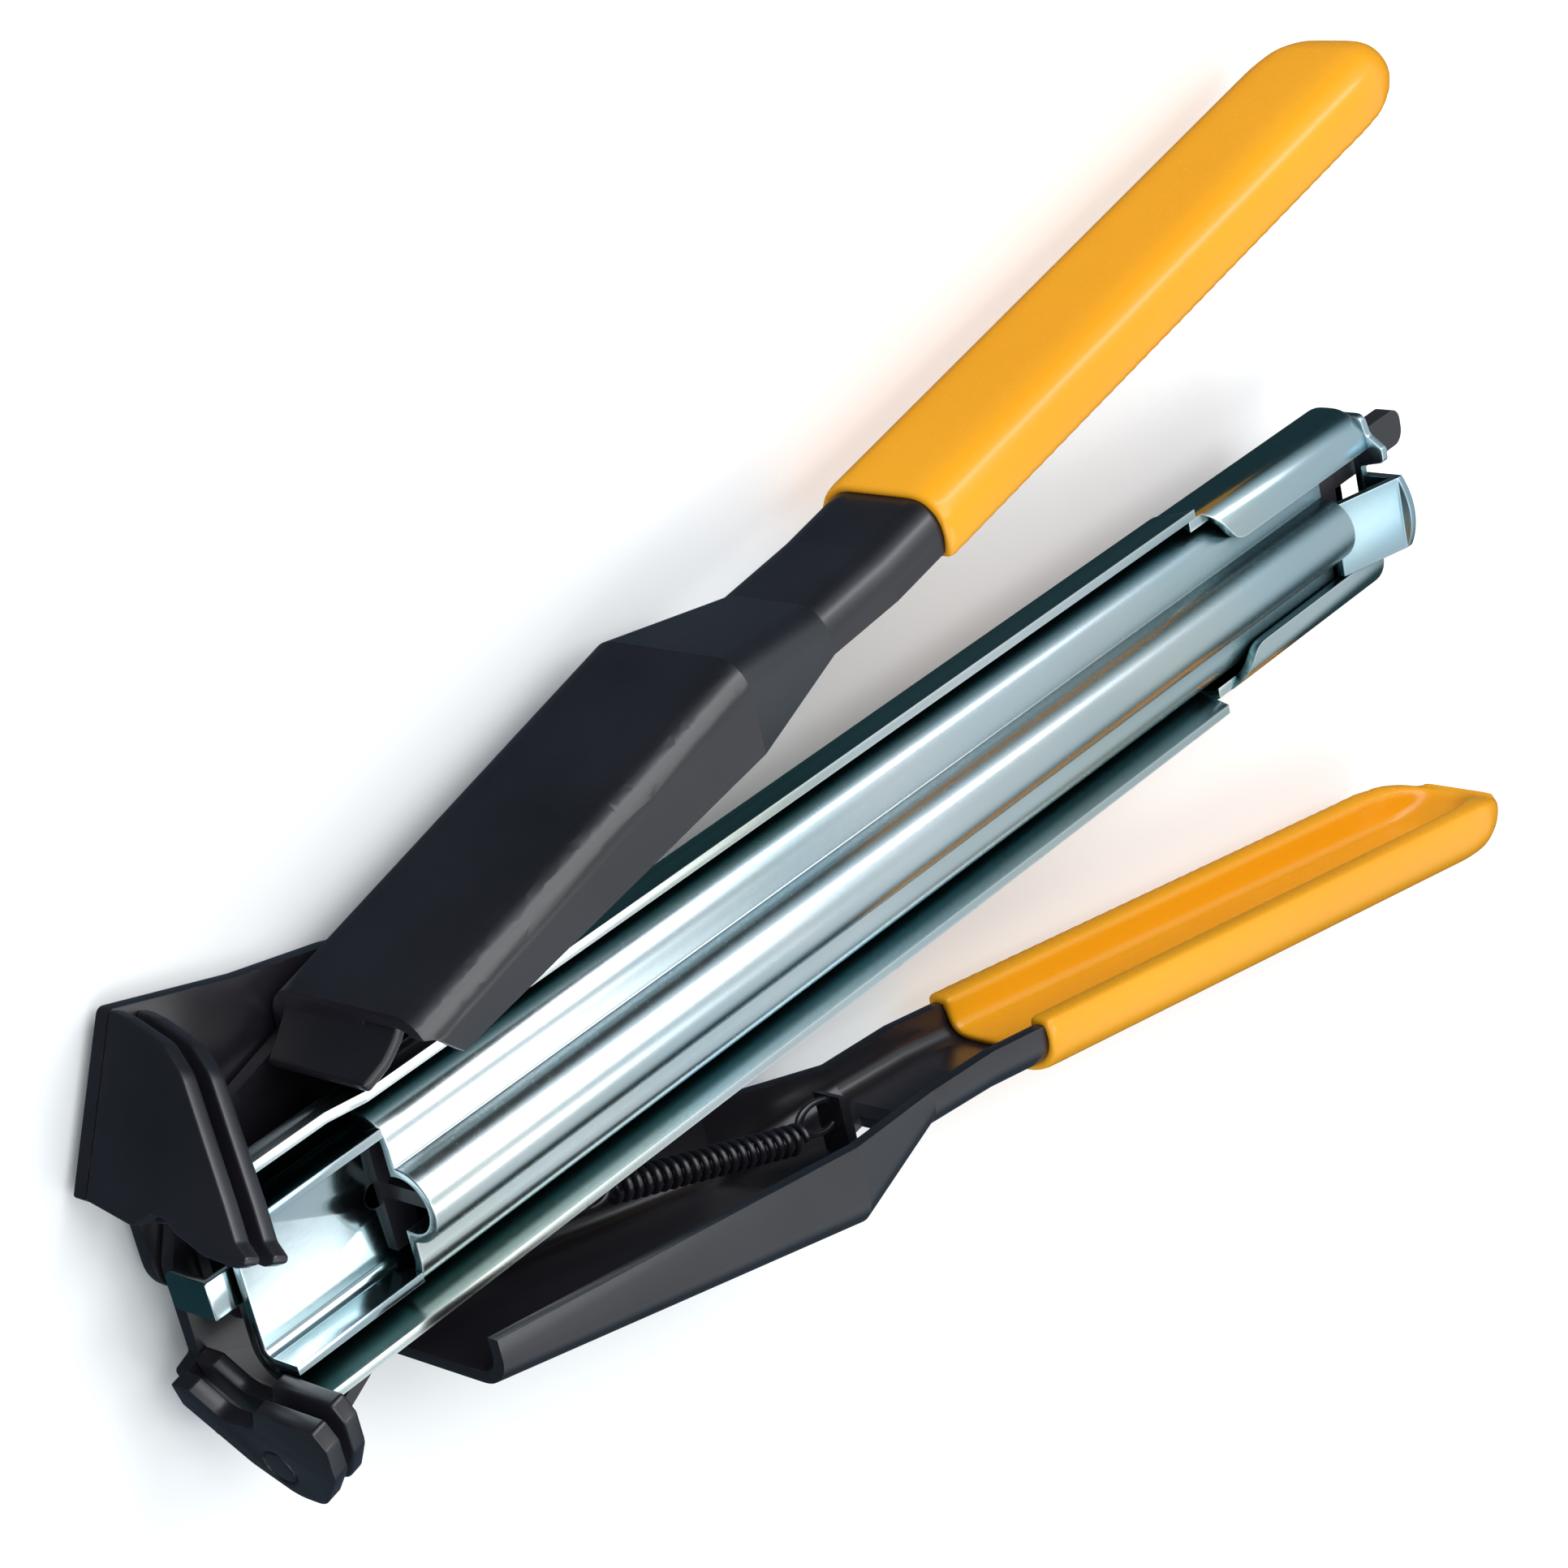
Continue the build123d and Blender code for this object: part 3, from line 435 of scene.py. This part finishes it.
# %% [markdown]
# ## Black levers
# The levers are stamped sheet with a satin black finish. It is nearly black in shade, shows a
# faint violet sheen where a fold catches the light, and has a very fine orange-peel texture.
# Handling rubs the edges a little greyer. A dielectric shader with a coat keeps the highlights
# soft and broad.


# %% Lever black
LEVER_STOPS = (
    (0.3, (0.0065, 0.0060, 0.0080)),
    (0.7, (0.0115, 0.0105, 0.0150)),
)
RUBBED_BLACK = (0.06, 0.058, 0.062)


def make_lever_black(name, rough, texture):
    """Satin black finish on stamped steel."""
    material, tree, shader = start_material(
        name, Metallic=0.0, Specular_IOR_Level=0.55, Coat_Roughness=0.25, Sheen_Weight=0.05
    )
    shader.inputs["Sheen Tint"].default_value = (0.55, 0.5, 0.8, 1.0)
    shader.inputs["Coat Weight"].default_value = 0.25
    cloud = noise(tree, 60.0, 3.0)
    base = ramp(tree, cloud, LEVER_STOPS)
    wear = use_group(tree, edge_wear, Width=0.0005, Break=0.52)
    half_wear = math(tree, "MULTIPLY", wear.outputs["Mask"], 0.5)
    rubbed = blend_colours(tree, half_wear, base, RUBBED_BLACK)
    tree.links.new(rubbed, shader.inputs["Base Color"])
    skin = use_group(tree, metal_grain, Fine=0.5 * texture, Coarse=0.35 * texture)
    spread = math(tree, "MULTIPLY_ADD", skin.outputs["Value"], 0.08, rough - 0.04)
    tree.links.new(spread, shader.inputs["Roughness"])
    add_bump(tree, shader, skin.outputs["Height"], 0.08, 0.00004)
    return material


lever_black = make_lever_black("lever_black", 0.30, 0.15)
jaw_black = make_lever_black("jaw_black", 0.30, 0.4)
bar_black = make_lever_black("bar_black", 0.55, 1.6)
wire_black = make_lever_black("wire_black", 0.3, 0.6)
print("blacks:", [m.name for m in (lever_black, jaw_black, bar_black, wire_black)])

# %% [markdown]
# ## Dipped vinyl
# The grips are hot-dipped vinyl: a warm amber yellow with a wet gloss, soft waves left by the
# dip, and a little light passing into the skin. Strong subsurface would wash the colour out and
# bake slowly, so only a trace is used with a saturated base and a clear coat. One bump carries
# both the broad waves and the fine dust.


# %% Grip vinyl
VINYL_STOPS = (
    (0.3, (0.80, 0.325, 0.006)),
    (0.55, (0.83, 0.35, 0.007)),
    (0.75, (0.86, 0.375, 0.009)),
)


def make_vinyl(name):
    """Glossy amber vinyl with dip waves and fine dust marks."""
    material, tree, shader = start_material(
        name, Metallic=0.0, Specular_IOR_Level=0.35, Coat_Roughness=0.12, Subsurface_Weight=0.04
    )
    shader.inputs["Subsurface Radius"].default_value = (0.004, 0.002, 0.0006)
    shader.inputs["Subsurface Scale"].default_value = 0.5
    shader.inputs["Coat Weight"].default_value = 0.18
    drift = noise(tree, 30.0, 2.0, (0.4, 1.0, 1.0))
    base = ramp(tree, drift, VINYL_STOPS)
    tree.links.new(base, shader.inputs["Base Color"])
    dust = noise(tree, 1800.0, 4.0)
    spread = math(tree, "MULTIPLY_ADD", dust, 0.16, 0.17)
    tree.links.new(spread, shader.inputs["Roughness"])
    waves = noise(tree, 55.0, 1.0, (0.3, 1.0, 1.0))
    fine = math(tree, "MULTIPLY", dust, 0.05)
    add_bump(tree, shader, math(tree, "ADD", waves, fine), 0.25, 0.0006)
    return material


grip_vinyl = make_vinyl("grip_vinyl")
print("vinyl:", grip_vinyl.name)

# %% [markdown]
# ## Pivot steel
# The pivot pin and its washers are turned parts, and a lathe leaves fine rings round the axis.
# A wave texture in rings about Z has its middle on the pivot, because the frame's origin lies
# there, so it needs no mapping. Oil darkens the steel in patches.


# %% Pivot steel
OILED_STOPS = (
    (0.3, (0.20, 0.20, 0.21)),
    (0.7, (0.38, 0.39, 0.40)),
)
BARE_STEEL = (0.6, 0.6, 0.6)


def make_pivot_steel(name):
    """Turned steel with faint rings round the pivot axis, darkened by oil."""
    material, tree, shader = start_material(name, Metallic=1.0)
    place = node(tree, "ShaderNodeTexCoord")
    rings = node(tree, "ShaderNodeTexWave", wave_type="RINGS", rings_direction="Z")
    rings.inputs["Scale"].default_value = 900.0
    rings.inputs["Distortion"].default_value = 1.5
    tree.links.new(place.outputs["Object"], rings.inputs["Vector"])
    wear = use_group(tree, edge_wear, Width=0.0006, Break=0.3)
    oiled = ramp(tree, noise(tree, 240.0, 3.0), OILED_STOPS)
    edged = blend_colours(tree, wear.outputs["Mask"], oiled, BARE_STEEL)
    tree.links.new(edged, shader.inputs["Base Color"])
    spread = math(tree, "MULTIPLY_ADD", rings.outputs["Fac"], 0.1, 0.3)
    tree.links.new(spread, shader.inputs["Roughness"])
    add_bump(tree, shader, rings.outputs["Fac"], 0.1, 0.00008)
    return material


pivot_steel = make_pivot_steel("pivot_steel")
print("steel:", pivot_steel.name)

# %% [markdown]
# ## Finishing the CAD nodes
# The stampings and the magazine already have their true shape, but CAD edges are knife-sharp,
# and a real sheared or folded edge has a small radius that catches the light. Each visible node
# is copied, its loose triangles are merged into one skin, and a Bevel modifier rounds every
# sharp edge. A shader bevel would be quicker, but it would leave the outline sharp. The copy
# then stands for the node. The remaining nodes keep their CAD mesh and get a material only.


# %% Merged copy
MERGE_WITHIN = 0.004
FLAT_WITHIN = radians(0.6)


def merged_copy(name, label):
    """A copy of a CAD node's mesh as one skin, selected and active."""
    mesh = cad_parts[name].data.copy()
    mesh.name = label
    mesh.materials.clear()
    piece = bpy.data.objects.new(label, mesh)
    bpy.context.collection.objects.link(piece)
    bpy.ops.object.select_all(action="DESELECT")
    piece.select_set(True)
    bpy.context.view_layer.objects.active = piece
    bpy.ops.object.mode_set(mode="EDIT")
    bpy.ops.mesh.select_all(action="SELECT")
    bpy.ops.mesh.remove_doubles(threshold=MERGE_WITHIN * MM)
    bpy.ops.mesh.dissolve_limited(angle_limit=FLAT_WITHIN)
    bpy.ops.object.mode_set(mode="OBJECT")
    return piece


# %% Softened creases
CREASE_LEAST = radians(4.0)
CREASE_MOST = radians(55.0)


def soften_creases(piece, width):
    """Rounds the shallow creases that run across a lever, where its sheet changes slope."""
    bpy.ops.object.mode_set(mode="EDIT")
    bpy.ops.mesh.select_mode(type="EDGE")
    bpy.ops.mesh.select_all(action="DESELECT")
    skin = bmesh.from_edit_mesh(piece.data)
    chosen = 0
    for edge in skin.edges:
        run = edge.verts[1].co - edge.verts[0].co
        if len(edge.link_faces) != 2 or abs(run.x) > 0.2 * run.length:
            continue
        if CREASE_LEAST < edge.calc_face_angle(0.0) < CREASE_MOST:
            edge.select_set(True)
            chosen += 1
    bmesh.update_edit_mesh(piece.data)
    if chosen:
        bpy.ops.mesh.bevel(offset=width * MM, segments=5, profile=0.5, clamp_overlap=True)
    bpy.ops.object.mode_set(mode="OBJECT")
    return chosen


# %% Rounded copy
def hand_over(piece, name, body, material):
    """Gives a finished piece its material and its body, and hides the CAD node it stands for."""
    piece.data.materials.append(material)
    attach(piece, body)
    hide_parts(name)
    print(piece.name, len(piece.data.polygons), "faces")
    return piece


def rounded_copy(name, body, material, width, crease=0.0):
    """A merged copy of a CAD node with small rounded edges, riding on its body."""
    piece = merged_copy(name, name + "_finished")
    if crease:
        print("creases:", soften_creases(piece, crease))
    bevel = piece.modifiers.new("edge_radius", "BEVEL")
    bevel.width = width * MM
    bevel.segments = 3
    bevel.limit_method = "ANGLE"
    bevel.angle_limit = radians(38.0)
    bpy.ops.object.modifier_apply(modifier=bevel.name)
    bpy.ops.object.shade_smooth_by_angle(angle=radians(32.0))
    return hand_over(piece, name, body, material)


# %% Levers and jaws
LEVER_NODES = {
    "upper_handle": ("upper_lever", lever_black, 0.35, 4.0),
    "lower_handle": ("lower_lever", lever_black, 0.35, 4.0),
    "upper_jaw_front": ("lower_lever", jaw_black, 0.4, 0.0),
    "upper_jaw_rear": ("lower_lever", jaw_black, 0.4, 0.0),
    "lower_jaw_front": ("upper_lever", jaw_black, 0.4, 0.0),
    "lower_jaw_rear": ("upper_lever", jaw_black, 0.4, 0.0),
}
for name, (body, material, width, crease) in LEVER_NODES.items():
    rounded_copy(name, body, material, width, crease)

# %% Magazine pieces
MAGAZINE_NODES = {
    "magazine_channel": (zinc_outer, 0.2),
    "rail_channel": (zinc_bright, 0.2),
    "rail_cover": (zinc_rail, 0.2),
    "nose_hook": (zinc_bright, 0.25),
    "end_plate": (zinc_rail, 0.2),
    "end_tab": (zinc_straw, 0.2),
}
for name, (material, width) in MAGAZINE_NODES.items():
    rounded_copy(name, "root", material, width)

# %% [markdown]
# ## Front tongue
# At the pivot end the upper lever's web is folded down and forward into a tongue that closes
# the channel above the magazine. It starts as a plane across the web's front edge. Its lower
# edge is extruded three times, leaning further forward each time, and the sheet then gets its
# thickness from Solidify and its edge radius from Bevel. A cut box would give the same outline,
# but not the even thickness of a fold.


# %% Front tongue
TONGUE_AT = Vector((-6.6, 23.0, 15.6)) * MM
TONGUE_STRIP = 1.5 * MM
TONGUE_WIDTH = 19.0 * MM
TONGUE_SHEET = 1.6 * MM
TONGUE_STEPS = ((-1.0, -1.6, 0.98), (-2.2, -2.0, 0.96), (-3.0, -1.8, 0.9))


def extrude_lower_edge(piece, run, drop, narrow):
    """Extrudes the piece's lowest edge in Y forward and down, and narrows it."""
    skin = bmesh.from_edit_mesh(piece.data)
    lowest = min(v.co.y for v in skin.verts)
    bpy.ops.mesh.select_mode(type="EDGE")
    bpy.ops.mesh.select_all(action="DESELECT")
    for edge in skin.edges:
        if all(v.co.y < lowest + 0.1 * MM for v in edge.verts):
            edge.select_set(True)
    bmesh.update_edit_mesh(piece.data)
    bpy.ops.mesh.extrude_region_move(TRANSFORM_OT_translate={"value": (run * MM, drop * MM, 0.0)})
    bpy.ops.transform.resize(value=(1.0, 1.0, narrow))


def front_tongue():
    """The folded tongue at the front of the upper lever."""
    bpy.ops.object.select_all(action="DESELECT")
    bpy.ops.mesh.primitive_plane_add(size=1.0, rotation=(0.0, pi / 2, 0.0))
    tongue = bpy.context.object
    tongue.name = "upper_lever_tongue"
    bpy.ops.object.transform_apply(location=True, rotation=True, scale=True)
    bpy.ops.object.mode_set(mode="EDIT")
    bpy.ops.mesh.select_all(action="SELECT")
    bpy.ops.transform.resize(value=(1.0, TONGUE_STRIP, TONGUE_WIDTH))
    bpy.ops.transform.translate(value=TONGUE_AT)
    for run, drop, narrow in TONGUE_STEPS:
        extrude_lower_edge(tongue, run, drop, narrow)
    bpy.ops.mesh.select_all(action="SELECT")
    bpy.ops.mesh.subdivide(number_cuts=2, smoothness=0.6)
    bpy.ops.mesh.normals_make_consistent(inside=False)
    bpy.ops.object.mode_set(mode="OBJECT")
    sheet = tongue.modifiers.new("sheet", "SOLIDIFY")
    sheet.thickness = TONGUE_SHEET
    sheet.offset = 0.0
    radius = tongue.modifiers.new("edge_radius", "BEVEL")
    radius.width = 0.6 * MM
    radius.segments = 3
    radius.limit_method = "ANGLE"
    radius.angle_limit = radians(50.0)
    for modifier in list(tongue.modifiers):
        bpy.ops.object.modifier_apply(modifier=modifier.name)
    bpy.ops.object.shade_smooth_by_angle(angle=radians(40.0))
    tongue.data.materials.append(lever_black)
    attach(tongue, "upper_lever")
    print("tongue", len(tongue.data.polygons), "faces")
    return tongue


front_tongue()

# %% [markdown]
# ## Dipped grips
# Dipped vinyl has no sharp edge anywhere: the liquid rounds every corner and leaves a soft
# rolled lip where it stopped. Bevels alone would leave flat faces between them. Remeshing the
# grip together with the sheet inside it makes one thick skin of small even faces, and a Smooth
# modifier then lets the corners flow, as the hot vinyl does.


# %% Dipped grips
LIP_COVER = 1.5 * MM
VOXEL = 0.55 * MM
FLOW_STEPS = 30


def dipped_grip(name, handle, body):
    """One soft skin of vinyl over the end of a lever."""
    skin = merged_copy(name, name + "_dipped")
    lip_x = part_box(name)[0][0]
    merged_copy(handle, name + "_core")
    bpy.ops.object.mode_set(mode="EDIT")
    bpy.ops.mesh.select_all(action="SELECT")
    bpy.ops.mesh.bisect(
        plane_co=(lip_x + LIP_COVER, 0.0, 0.0),
        plane_no=(1.0, 0.0, 0.0),
        use_fill=True,
        clear_inner=True,
    )
    bpy.ops.object.mode_set(mode="OBJECT")
    skin.select_set(True)
    bpy.context.view_layer.objects.active = skin
    bpy.ops.object.join()
    remesh = skin.modifiers.new("even_skin", "REMESH")
    remesh.mode = "VOXEL"
    remesh.voxel_size = VOXEL
    bpy.ops.object.modifier_apply(modifier=remesh.name)
    flow = skin.modifiers.new("flow", "SMOOTH")
    flow.factor = 0.5
    flow.iterations = FLOW_STEPS
    bpy.ops.object.modifier_apply(modifier=flow.name)
    bpy.ops.object.shade_smooth()
    return hand_over(skin, name, body, grip_vinyl)


for name, handle, body in (
    ("upper_grip", "upper_handle", "upper_lever"),
    ("lower_grip", "lower_handle", "lower_lever"),
):
    dipped_grip(name, handle, body)

# %% [markdown]
# ## Springs
# The feed spring lies along the rail and shortens as the follower comes forward; its copy here
# is merged into one smooth skin and keeps its CAD length. The return spring's coil is right as it
# is, and only lacks the two drawn-out loops that hold it to its post and its hook. Each loop
# starts as a torus, is stretched in edit mode, and is then turned to lie along the coil.


# %% Feed spring
def feed_spring_copy():
    """The feed spring as one smooth skin, kept at its CAD length."""
    spring = merged_copy("feed_spring", "feed_spring_wire")
    bpy.ops.object.shade_smooth_by_angle(angle=radians(50.0))
    hand_over(spring, "feed_spring", "root", wire_black)
    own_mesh(spring)
    return spring


feed_spring_copy()

# %% Return spring loops
POST_AT = Vector((17.5, -16.8, 16.7)) * MM
HOOK_AT = Vector((61.5, -31.0, 16.7)) * MM
LOOP_RADIUS = 2.2 * MM
LOOP_WIRE = 0.45 * MM
LOOP_STRETCH = 1.7


def spring_loop(name, at, towards):
    """A drawn-out wire loop round a pin, reaching back to the end of the coil."""
    along = (towards - at).normalized()
    bpy.ops.object.select_all(action="DESELECT")
    bpy.ops.mesh.primitive_torus_add(
        major_radius=LOOP_RADIUS, minor_radius=LOOP_WIRE, major_segments=40, minor_segments=12
    )
    loop = bpy.context.object
    loop.name = name
    bpy.ops.object.mode_set(mode="EDIT")
    bpy.ops.mesh.select_all(action="SELECT")
    bpy.ops.transform.resize(value=(LOOP_STRETCH, 1.0, 1.0))
    bpy.ops.object.mode_set(mode="OBJECT")
    turn = along.to_track_quat("X", "Z").to_matrix().to_4x4()
    loop.matrix_world = Matrix.Translation(at + along * LOOP_RADIUS) @ turn
    bpy.ops.object.transform_apply(location=True, rotation=True, scale=True)
    bpy.ops.object.shade_smooth()
    loop.data.materials.append(wire_black)
    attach(loop, "return_spring_body")
    print(name, "at", [round(v / MM, 1) for v in at])
    return loop


spring_loop("post_loop", POST_AT, HOOK_AT)
spring_loop("hook_loop", HOOK_AT, POST_AT)

# %% [markdown]
# ## The other nodes
# These pieces are small, round or hidden, and their CAD shape needs no more edges. Each keeps
# its mesh and only has its material slot filled with one of the finishes above.

# %% Materials on the other nodes
PLAIN_NODES = {
    "upper_jaw_spacer": jaw_black,
    "lower_jaw_spacer": jaw_black,
    "spring_post": lever_black,
    "frame_plate": lever_black,
    "magazine_standoffs": zinc_rail,
    "rail_rivets": zinc_bright,
    "spring_anchor": bar_black,
    "pivot_pin": pivot_steel,
    "pivot_washers": pivot_steel,
    "return_spring": wire_black,
    "pull_bar": bar_black,
    "pull_stub": bar_black,
    "follower_block": bar_black,
    "ring_pusher": bar_black,
}
for name, material in PLAIN_NODES.items():
    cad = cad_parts[name]
    cad.data.materials.clear()
    cad.data.materials.append(material)
print(len(PLAIN_NODES), "plain nodes finished")
